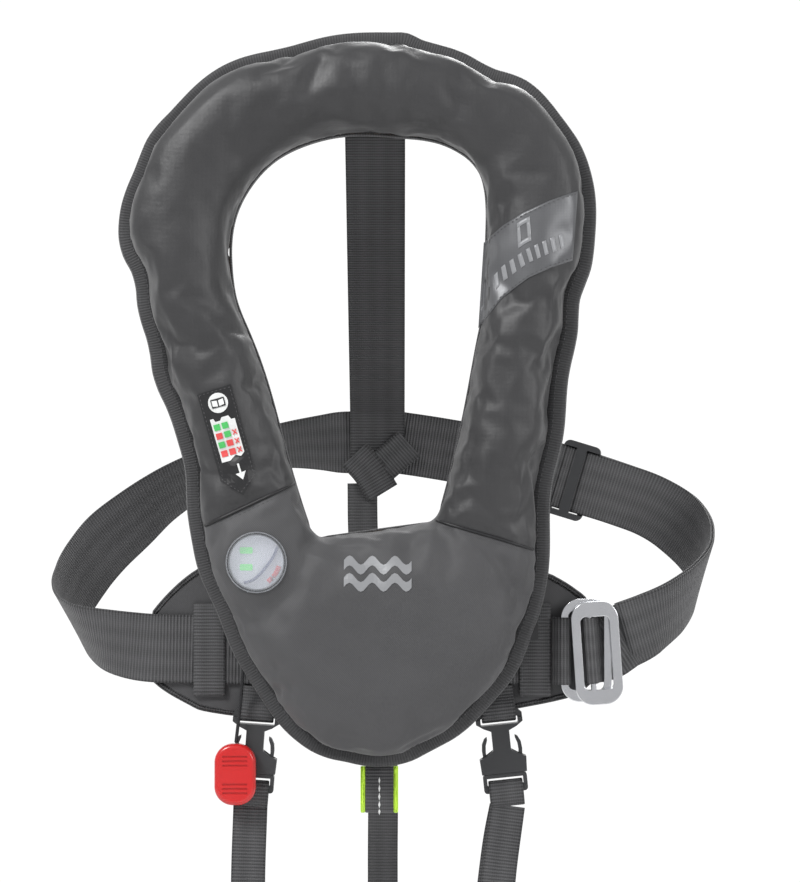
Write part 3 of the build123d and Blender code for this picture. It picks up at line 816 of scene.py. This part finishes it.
# %% Cutting out collar and bib
def cut(bm, a, b):
    """New edges in every face between the lines x = a.x and x = b.x, where the seam crosses it."""
    across = (b - a).cross(Vector((0, 1, 0))).normalized()
    middles = [(f, f.calc_center_median()) for f in bm.faces]
    inside = [f for f, c in middles if a.x - .006 <= c.x <= b.x + .006 and abs(across.dot(c - a)) < .02]
    geom = inside + list({e for f in inside for e in f.edges}) + list({v for f in inside for v in f.verts})
    bmesh.ops.bisect_plane(bm, geom=geom, plane_co=a, plane_no=across)


bm = bmesh.new()
bm.from_mesh(cover.data)
for a, b in zip(SEAM, SEAM[1:]):
    cut(bm, a, b)
centre = Vector((hole.x, hole.z))
middles = [(f, f.calc_center_median()) for f in bm.faces]
inner = [f for f, c in middles if c.y < -.015 and from_window(c.x, c.z) < hole_r]
bmesh.ops.delete(bm, geom=inner, context="FACES")
for v in bm.verts:
    out = Vector((v.co.x, v.co.z)) - centre
    if v.is_boundary and out.length < hole_r * 1.5:
        v.co.x, v.co.z = centre + out.normalized() * hole_r
bm.to_mesh(cover.data)
bm.free()
tree = BVHTree.FromObject(cover, bpy.context.evaluated_depsgraph_get())
for name, mat, above in (("collar", collar_cloth, True), ("bib", bib_cloth, False)):
    piece = cover.copy()
    piece.data = cover.data.copy()
    piece.name = name + "_cover"
    scene.collection.objects.link(piece)
    bm = bmesh.new()
    bm.from_mesh(piece.data)
    middles = [(f, f.calc_center_median()) for f in bm.faces]
    other = [f for f, c in middles if (from_seam(c.x, c.z) > 0) != above]
    bmesh.ops.delete(bm, geom=other, context="FACES")
    bm.to_mesh(piece.data)
    bm.free()
    piece.vertex_groups.clear()
    piece.data.materials.clear()
    piece.data.materials.append(mat)
    piece.data.shade_smooth()
    placed(piece, "jacket", ["cover_" + name])
bpy.data.objects.remove(cover)
print("collar and bib cut out")


# %% [markdown]
# Trims lie on the cover, so each of their points is found by looking straight back from the
# front until the cloth is met.

# %% Finding the cloth
def seen(x, z):
    """The point of the cover seen at x, z from the front, or None past its edge."""
    hit = tree.ray_cast(Vector((x, -.2, z)), Vector((0, 1, 0)), .6)[0]
    return hit if hit is not None and hit.y < .0079 else None


def on_cloth(x, z, lift=0.0):
    """The same point lifted off the cloth; past the edge it lies a little in front of the tape."""
    hit = seen(x, z)
    return Vector((x, (.004 if hit is None else hit.y) - lift, z))


def sliced(bm, at, normal):
    """New edges wherever the plane through at crosses the mesh."""
    bmesh.ops.bisect_plane(bm, geom=bm.verts[:] + bm.edges[:] + bm.faces[:], plane_co=at, plane_no=normal)


def thickened(bm, by, name, mat):
    """The sheet pushed out along Y to a closed body, as an object."""
    for v in bmesh.ops.extrude_face_region(bm, geom=bm.faces[:])["geom"]:
        if isinstance(v, bmesh.types.BMVert):
            v.co.y += by
    bmesh.ops.recalc_face_normals(bm, faces=bm.faces)
    mesh = bpy.data.meshes.new(name)
    bm.to_mesh(mesh)
    bm.free()
    mesh.materials.append(mat)
    return linked(name, mesh)


def laid(name, outline, lift, mat, pitch=.003, thick=.0004, stands=()):
    """A flat shape in millimetres cut from thin sheet and laid on the cover."""
    bm = bmesh.new()
    ring = [bm.verts.new(mm(x, 0, z)) for x, z in outline]
    bm.faces.new(ring)
    xs, zs = [v.co.x for v in ring], [v.co.z for v in ring]
    for low, high, normal in ((min(xs), max(xs), (1, 0, 0)), (min(zs), max(zs), (0, 0, 1))):
        for i in range(1, int((high - low) / pitch) + 1):
            sliced(bm, Vector(normal) * (low + i * pitch), normal)
    for v in bm.verts:
        v.co = on_cloth(v.co.x, v.co.z, lift)
    return placed(thickened(bm, -thick, name, mat), "jacket", stands)


def piping(name, path, radius, mat, closed=False, stands=()):
    """A round cord along points in space."""
    ring = [(radius * cos(2 * pi * i / 8), radius * sin(2 * pi * i / 8)) for i in range(8)]
    points = [Vector((*p, 0, 1, 0)) for p in path]
    return placed(swept(name, framed(points, closed), ring, mat, closed), "jacket", stands)


def stitches(name, path, length, gap, width, mat, out=Vector((0, -1, 0))):
    """A row of separate stitches along points in space, each a small pointed lozenge."""
    verts, faces = [], []
    rest = 0.0
    for a, b in zip(path, path[1:]):
        span = (b - a).length
        run = (b - a) / max(span, 1e-9)
        side = run.cross(out).normalized() * (width / 2)
        at = rest
        while at < span:
            s = a + run * at
            k = len(verts)
            verts += [s, s + run * (length / 2) + side, s + run * length, s + run * (length / 2) - side,
                      s + run * (length / 2) + out * (width * .55)]
            faces += [(k, k + 1, k + 4), (k + 1, k + 2, k + 4), (k + 2, k + 3, k + 4), (k + 3, k, k + 4)]
            at += length + gap
        rest = at - span
    return placed(add_mesh(name, verts, faces, mat), "jacket")


seam_path = []
for a, b in zip(SEAM, SEAM[1:]):
    steps = max(2, int((b - a).length / .003))
    seam_path += [a + (b - a) * (i / steps) for i in range(steps)]
spans = [[], []]
for p in seam_path:
    hit = seen(p.x, p.z)
    if hit is not None:
        spans[0 if p.x < 0 else 1].append(Vector((hit.x, hit.y - .0004, hit.z)))
STITCH_BELOW = .0034    # from the seam to its row of stitches
for k, run in enumerate(spans):
    piping(f"seam_piping_{k}", run, .0011, label_black, stands=["seam_tape"] if k == 0 else ())
    stitches(f"seam_stitch_{k}", [on_cloth(p.x, p.z - STITCH_BELOW, .0002) for p in run], .0024, .0012, .0007,
             thread_dark)
print("seam piped and stitched")


# %% [markdown]
# All round the rim, two grosgrain tapes bind the raw edges, and the burst zip is sewn
# between them. It opens by itself when the bladder fills.

# %% Bindings and zip
def along_rim(depth, y, spacing=.004):
    """Framed points round the rim at a depth; the width points into the cloth."""
    ring = drawn(RIM, depth)
    deeper = drawn(RIM, depth + .002)
    pts = [Vector((p.x, y, p.y, q.x - p.x, 0, q.y - p.y)) for p, q in zip(ring, deeper)]
    return smooth(pts, spacing, True)


def rim_tape(name, outer, width, y, thick, mat, node, bulge=.0005):
    points = along_rim(outer + width / 2, y)
    h, e = width / 2, thick / 2
    half = [(-h, e * .5), (-h + .0008, -e), (-h + .0035, -e - bulge), (0, -e - bulge * .4), (h, -e)]
    section = half + [(h, e), (0, e), (-h + .0008, e)]
    path = [(mid, across, Vector((0, 1, 0))) for mid, across, face in framed(points, True)]
    return placed(swept(name, path, section, mat, True), "jacket", [node])


rim_tape("binding_front", 0, .0145, .0095, .0028, tape_cloth, "front_binding")
rim_tape("binding_rear", -.0008, .0153, .0155, .0030, tape_cloth, "rear_binding")
rim_tape("zip_tape", .0030, .0130, .01245, .0010, zip_plastic, "burst_zip", 0)
for name, depth, y in (("stitch_front", .0088, .0076), ("stitch_rear", .0088, .01745)):
    ring = [Vector((p[0], y, p[2])) for p in along_rim(depth, y)]
    stitches(name, ring + ring[:1], .0026, .0014, .0008, thread_dark,
             Vector((0, -1 if y < .01 else 1, 0)))
teeth, faces = [], []
BLOCK = ((0, 1, 3, 2), (4, 6, 7, 5), (0, 4, 5, 1), (2, 3, 7, 6), (0, 2, 6, 4), (1, 5, 7, 3))
for p in framed(along_rim(.0016, .01245, .0027), True):
    mid, inward, _ = p
    run = inward.cross(Vector((0, 1, 0)))
    k = len(teeth)
    teeth += [mid + inward * a * .0016 + Vector((0, 1, 0)) * b * .0011 + run * c * .0008
              for a in (-1, 1) for b in (-1, 1) for c in (-1, 1)]
    faces += [tuple(k + i for i in q) for q in BLOCK]
placed(add_mesh("zip_teeth", teeth, faces, zip_plastic, round_over=False), "jacket")
print("bindings and", len(teeth) // 8, "zip teeth")

# %% [markdown]
# The back of the jacket is a soft lining. It is padded thinly and quilted where it is
# stitched through, so it lies flat against the chest.

# %% Lining
BACK_LEVELS = [(.0171, -.001), (.0205, 0.0), (.0238, .0022), (.0252, .0052), (.0257, .010)]
lining = remeshed("lining", tube(.0075, .0002, BACK_LEVELS), .0055)
for v in lining.data.vertices:
    if v.co.y > .021:
        quilt = abs(sin(v.co.x * 95)) * abs(sin(v.co.z * 95))
        v.co.y -= .0012 * (1 - quilt) + .0005 * noise.noise(v.co * 40)
lining.modifiers.new("fine", "SUBSURF").levels = 1
baked(lining)
lining.data.materials.clear()
lining.data.materials.append(lining_cloth)
lining.data.shade_smooth()
placed(lining, "jacket", ["back_panel"])
facing = smooth([Vector((p.x, .0125, p.y, 0, 1, 0)) for p in drawn(NECK, .0012)], .004, True)
placed(swept("neck_facing", framed(facing, True), flat_section(.0098, THIN), tape_cloth, True),
       "jacket")
print("lining made")

# %% [markdown]
# Wings of the same twill stick out under the belt on each side. They are bound with tape
# and spread the pull of the belt.

# %% Harness panel and its binding
WINGS = [(-124, -312), (-158, -344), (-159, -396), (-124, -417), (-100, -421), (0, -424),
         (109, -416), (148, -408), (165, -398), (163, -342), (160, -333.5), (132.6, -316),
         (60, -330), (-60, -330)]
soft = []
n = len(WINGS)
for i in range(n):
    a, p, b = (Vector(WINGS[(i + k) % n]) for k in (-1, 0, 1))
    back, on = (a - p), (b - p)
    soft += [p + back.normalized() * min(7, back.length / 3), p + (back.normalized() + on.normalized()) * 1.2,
             p + on.normalized() * min(7, on.length / 3)]
swing = sum(a.x * b.y - b.x * a.y for a, b in zip(soft, soft[1:] + soft[:1]))
soft = soft if swing > 0 else soft[::-1]
inner_wing = drawn(soft, 3.0)


bm = bmesh.new()
bm.faces.new([bm.verts.new(mm(p.x, 0, p.y)) for p in inner_wing])
for i in range(-20, 22):
    sliced(bm, mm(i * 8, 0, 0), (1, 0, 0))
    sliced(bm, mm(0, 0, i * 8 - 370), (0, 0, 1))
for v in bm.verts:
    v.co.y = .0308 + .0006 * noise.noise(Vector((v.co.x, v.co.z, .3)) * 34)
placed(thickened(bm, .0020, "wings", bib_cloth), "jacket", ["harness_panel"])
middle = drawn(soft, 2.2)
deeper = drawn(soft, 4.2)
pts = [Vector((p.x * .001, .0317, p.y * .001, q.x - p.x, 0, q.y - p.y)) for p, q in zip(middle, deeper)]
wing_path = framed(smooth(pts, .004, True), True)
placed(swept("wing_edge", wing_path, flat_section(.0048, .0031), tape_cloth, True), "jacket",
       ["wing_binding"])
print("wings bound")

# %% [markdown]
# A grey reflective band crosses the right lobe. A ship's searchlight finds it at night. Its
# print is a plain row of bars under an open ring.

# %% Reflective band
TOP = [(84.2, -77), (97, -66.5), (111, -58), (130, -49.5), (150.5, -42)]
LOW = [(80.3, -138.7), (96, -118.5), (114.8, -104.4), (130, -97.5), (146.8, -91.3)]


def band_point(s, t, lift=.0007):
    """A point on the band: s along it from the neck, t from its top edge to its lower edge."""
    k = min(int(s * 4), 3)
    f = s * 4 - k
    a = Vector(TOP[k]) * (1 - f) + Vector(TOP[k + 1]) * f
    b = Vector(LOW[k]) * (1 - f) + Vector(LOW[k + 1]) * f
    p = (a * (1 - t) + b * t) * .001
    return on_cloth(p.x, p.y, lift)


def band_piece(name, s0, s1, t0, t1, lift, mat, skew=0.0, stands=(), thick=.0001):
    """A four-sided patch of the band, with a little thickness."""
    ns, nt = max(2, int((s1 - s0) * 34)), max(2, int((t1 - t0) * 26))
    grid = [[band_point(s0 + (s1 - s0) * i / ns + skew * (j / nt - .5), t0 + (t1 - t0) * j / nt, lift)
             for j in range(nt + 1)] for i in range(ns + 1)]
    flat = [p for row in grid for p in row]
    m, w = len(flat), nt + 1
    verts = flat + [p - Vector((0, -thick * 2, 0)) for p in flat]
    faces = []
    for i in range(ns):
        for j in range(nt):
            q = (i * w + j, (i + 1) * w + j, (i + 1) * w + j + 1, i * w + j + 1)
            faces += [q, tuple(m + k for k in q[::-1])]
    rim = [i * w for i in range(ns + 1)] + [ns * w + j for j in range(1, w)]
    rim += [i * w + nt for i in range(ns - 1, -1, -1)] + [j for j in range(nt - 1, 0, -1)]
    faces += [(a, m + a, m + b, b) for a, b in zip(rim, rim[1:] + rim[:1])]
    return placed(add_mesh(name, verts, faces, mat), "jacket", stands)


band_piece("band", 0.0, 1.0, 0.0, 1.0, .0006, silver_tape, stands=["reflective_band"], thick=.0004)
# The bars and the ring below are printed in print_silver, whose emission is a painted glow.
for k in range(9):
    s = .17 + k * .085
    band_piece(f"band_bar_{k}", s, s + .042, .56, .56 + .22, .0010, print_silver, skew=.03)
ring = [(.42, .56, .10, .17), (.42, .56, .40, .47), (.42, .455, .17, .40), (.525, .56, .17, .40)]
for k, (s0, s1, t0, t1) in enumerate(ring):
    band_piece(f"band_ring_{k}", s0, s1, t0, t1, .0010, print_silver)
for k, t in enumerate((.035, .965)):
    row = [band_point(i / 60, t, .0011) for i in range(61)]
    stitches(f"band_stitch_{k}", row, .0024, .0013, .0007, thread_dark)
print("band laid")

# %% [markdown]
# The instruction patch tells, without words, which way to check the firing head: green is
# good, red is not, and the arrow points down to the window.

# %% Instruction patch
u_axis, v_axis = Vector((.964, .267)), Vector((.267, -.964))
patch_top = Vector((-108, -183.5))


def patch_shape(points):
    """Millimetres across and down the patch, as places on the jacket."""
    return [tuple(patch_top + u_axis * u + v_axis * v) for u, v in points]


def disc(cu, cv, r, n=20):
    return [(cu + r * cos(2 * pi * i / n), cv + r * sin(2 * pi * i / n)) for i in range(n)]


laid("patch", [(-120, -187.4), (-96, -179.7), (-78.4, -243.6), (-87.2, -258.5), (-103.8, -248.6)], .0006,
     label_black, stands=["instruction_patch"])
marks = [
    ("disc", disc(.4, 10, 7.2), .0013, print_white),
    ("book", [(-4.6, 6.8), (5.4, 6.8), (5.4, 13), (-4.6, 13)], .0019, label_black),
    ("page_a", [(-3.8, 7.7), (-.1, 8.3), (-.1, 12.5), (-3.8, 11.8)], .0024, print_white),
    ("page_b", [(.9, 8.3), (4.6, 7.7), (4.6, 11.8), (.9, 12.5)], .0024, print_white),
    ("plate", [(-8.6, 20), (-6, 20), (-5.2, 22.5), (-1.6, 22.5), (0, 20.4), (5, 20.4), (6.4, 23.4), (9, 23.4),
               (9, 48), (6, 50.4), (2.4, 48.6), (-2.4, 51.6), (-8.6, 51.6)], .0013, print_white),
    ("arrow", [(1.6, 55), (3.0, 55), (3.2, 61.6), (6.4, 61.2), (2.9, 67), (-1.2, 61.8), (1.8, 61.8)], .0013,
     print_white),
]
for row, (left, right) in enumerate((("g", "g"), ("r", "g"), ("g", "r"), ("r", "r"))):
    v = 24.4 + row * 6.4
    for u, tint, side in ((-7.4, left, "a"), (-1.4, right, "b")):
        block = [(u, v), (u + 4.6, v), (u + 4.6, v + 4.4), (u, v + 4.4)]
        marks.append((f"block_{row}_{side}", block, .0019, print_green if tint == "g" else print_red))
    if row:
        marks.append((f"cross_{row}_a", [(4.4, v + .2), (5.2, v), (8, v + 3.6), (7.2, v + 4)], .0019, print_red))
        marks.append((f"cross_{row}_b", [(7.4, v), (8.1, v + .5), (5.1, v + 4), (4.5, v + 3.4)], .0020, print_red))
for name, shape, lift, mat in marks:
    laid("patch_" + name, patch_shape(shape), lift, mat, thick=.0002)
border = patch_shape([(-11.4, 1.4), (11.4, 1.4), (11.0, 66.2), (-1.2, 75.4), (-11.2, 63.8), (-11.4, 1.4)])
path = []
for a, b in zip(border, border[1:]):
    a, b = Vector(a), Vector(b)
    steps = max(2, int((b - a).length / 3))
    path += [on_cloth(*((a + (b - a) * (i / steps)) * .001), .0012) for i in range(steps)]
stitches("patch_stitch", path + path[:1], .0020, .0011, .0006, thread_dark)
print(len(marks), "printed marks")

# %% [markdown]
# The bib carries a plain silver print of two waves.

# %% Silver print
# The waves are printed in print_silver, whose emission is a painted glow.
for k, z in enumerate((-308, -320)):
    upper = [(-16 + i, z + 3.2 * sin(i * .39) + 3.4) for i in range(0, 49, 2)]
    lower = [(-16 + i, z + 3.2 * sin(i * .39) - 3.4) for i in range(48, -1, -2)]
    laid(f"wave_{k}", upper + lower, .0004, print_silver, thick=.0001)
print("waves printed")

# %% [markdown]
# The window is clear film held by a narrow welded ring, so the state of the firing head can be
# seen without opening the cover. A blue lanyard and a red tab lie beside the head.

# %% Window and firing head
def in_window(spots, y, width):
    """Stations at places in millimetres from the window's middle."""
    return smooth([Vector((hole.x + a * .001, y, hole.z + b * .001, *width)) for a, b in spots], .002)


turns = [2 * pi * i / 72 for i in range(72)]
ring_y = window_low.y + .0010
ring_path = [Vector((hole.x + .0204 * cos(t), ring_y, hole.z + .0204 * sin(t))) for t in turns]
piping("window_ring", ring_path, .0011, label_black, closed=True)
lanyard = in_window(((15, 11), (12, 4), (7, -3), (2, -9), (-3, -13), (-9, -15)), -.0262, (0, 1, 0))
round_section = [(.0011 * cos(i * pi / 4), .0011 * sin(i * pi / 4)) for i in range(8)]
placed(swept("inner_lanyard", framed(lanyard), round_section, blue_braid), "jacket")
tab = in_window(((16, -3), (13, -9), (8, -14)), -.0258, (.7, 0, .7))
placed(swept("inner_tab", framed(tab), flat_section(.0035, .001), red_plastic), "jacket")

# %% [markdown]
# Hard parts keep their CAD shape. Each only gets the right finish.

# %% Finishes of the hard parts
FINISH = {
    steel: ["buckle_ring", "buckle_plate", "buckle_bar"],
    red_plastic: ["pull_handle"], white_plastic: ["inflator_body"], green_plastic: ["status_indicators"],
    bottle_steel: ["co2_cylinder"], rubber: ["oral_tube", "oral_cap"], orange: ["whistle"], lens: ["light_unit"],
    clear: ["inspection_window"], cord_cloth: ["pull_cord_inner"], zip_plastic: ["zip_slider"],
    buckle_plastic: ["socket_left", "socket_right", "plug_left", "plug_right", "prong_left_outer", "prong_left_inner",
                     "prong_right_outer", "prong_right_inner", "belt_adjuster", "firing_lever"],
}
for mat, names in FINISH.items():
    for name in names:
        mesh = nodes[name].data
        if not mesh.materials:
            mesh.materials.append(mat)
        for i in range(len(mesh.materials)):
            mesh.materials[i] = mat
cord.data.materials.append(cord_cloth)
print("finishes on", sum(len(v) for v in FINISH.values()), "CAD nodes")

# %% [markdown]
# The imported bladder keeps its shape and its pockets, but its front is folded flatter so that it
# stays under the cloth.

# %% Packed bladder
packed = linked("bladder_packed", nodes["bladder"].data.copy())
bm = bmesh.new()
bm.from_mesh(packed.data)
bmesh.ops.remove_doubles(bm, verts=bm.verts, dist=.00002)
bm.normal_update()
moves = [v.normal * .0036 for v in bm.verts]
for v, move in zip(bm.verts, moves):
    v.co -= move
    if v.co.y < .008:
        v.co.y = .008 + (v.co.y - .008) * .60
bm.to_mesh(packed.data)
bm.free()
packed.data.materials.clear()
packed.data.materials.append(bladder_cloth)
placed(packed, "jacket", ["bladder"])

# %% [markdown]
# Small sewing shows that the straps carry load: box stitches on the yoke, bar tacks on the
# keepers, and a silver thread down the lifting loop.

# %% Stitching on the straps
def tack(a, b, name, mat=thread_dark, length=.0026, gap=.0012, width=.0008, out=Vector((0, -1, 0))):
    stitches(name, [mm(*a), mm(*b)], length, gap, width, mat, out)


yoke_out = Vector((0, -.71, -.70))
tack((-14, 143.6, -115.4), (25, 143.6, -115.4), "yoke_stitch_a", out=yoke_out)
tack((-14, 145.4, -117.2), (25, 145.4, -117.2), "yoke_stitch_b", out=yoke_out)
for k, x in enumerate((-2.4, 20.4)):
    tack((x, 220.1, -232 + 8 * k), (x + 8, 220.1, -242 + 8 * k), f"hitch_stitch_{k}")
for k, x in enumerate((-106, -125, 113, 132)):
    tack((x, 26.0, -343), (x, 26.0, -404), f"keeper_stitch_{k}")
tack((135.4, 27.3, -352), (135.4, 27.3, -392), "ring_tack", thread, length=.0012, gap=.0007, width=.0022)
loop_front = smooth([mm(8.8, y, z) for y, z in ((16.9, -463.5), (14.7, -474), (13.8, -482), (15.9, -488))], .002)
silver = stitches("loop_thread", loop_front, .0058, .0001, .0016, print_white)
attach(silver, "loop")
print("straps stitched")

# %% [markdown]
# A pale studio: a soft white surround, a wide key light from the upper left, a fill from the
# right and a light from behind that draws the edges.

# %% Studio
world = bpy.data.worlds.new("studio")
scene.world = world
world.use_nodes = True
sky = world.node_tree.nodes.new("ShaderNodeTexCoord")
away = Socket(world.node_tree, sky.outputs["Generated"]).axis(1).over(.1, .5)
tint = away.mix((.46, .46, .47), (1.05, 1.05, 1.05))
world.node_tree.links.new(tint.out, world.node_tree.nodes["Background"].inputs[0])


def lamp(name, place, aim, size, power):
    data = bpy.data.lights.new(name, "AREA")
    data.shape, data.size, data.energy = "DISK", size, power
    obj = linked(name, data)
    obj.location = place
    obj.rotation_euler = (Vector(aim) - Vector(place)).to_track_quat("-Z", "Y").to_euler()


lamp("key", (-1.2, -1.3, 1.2), (0, 0, -.2), .8, 42)
lamp("fill", (1.6, -1.2, .2), (0, 0, -.25), 1.0, 15)
lamp("rim", (.4, 1.6, 1.2), (0, .1, -.2), 1.0, 20)
bpy.ops.mesh.primitive_circle_add(vertices=96, radius=1.35, fill_type="NGON", location=(0, .1, -.80))
floor = bpy.context.object
floor.name = "floor"
floor.data.materials.append(material("floor_pale", moulded((.72, .72, .72), .04, .7)))
print("studio lit")
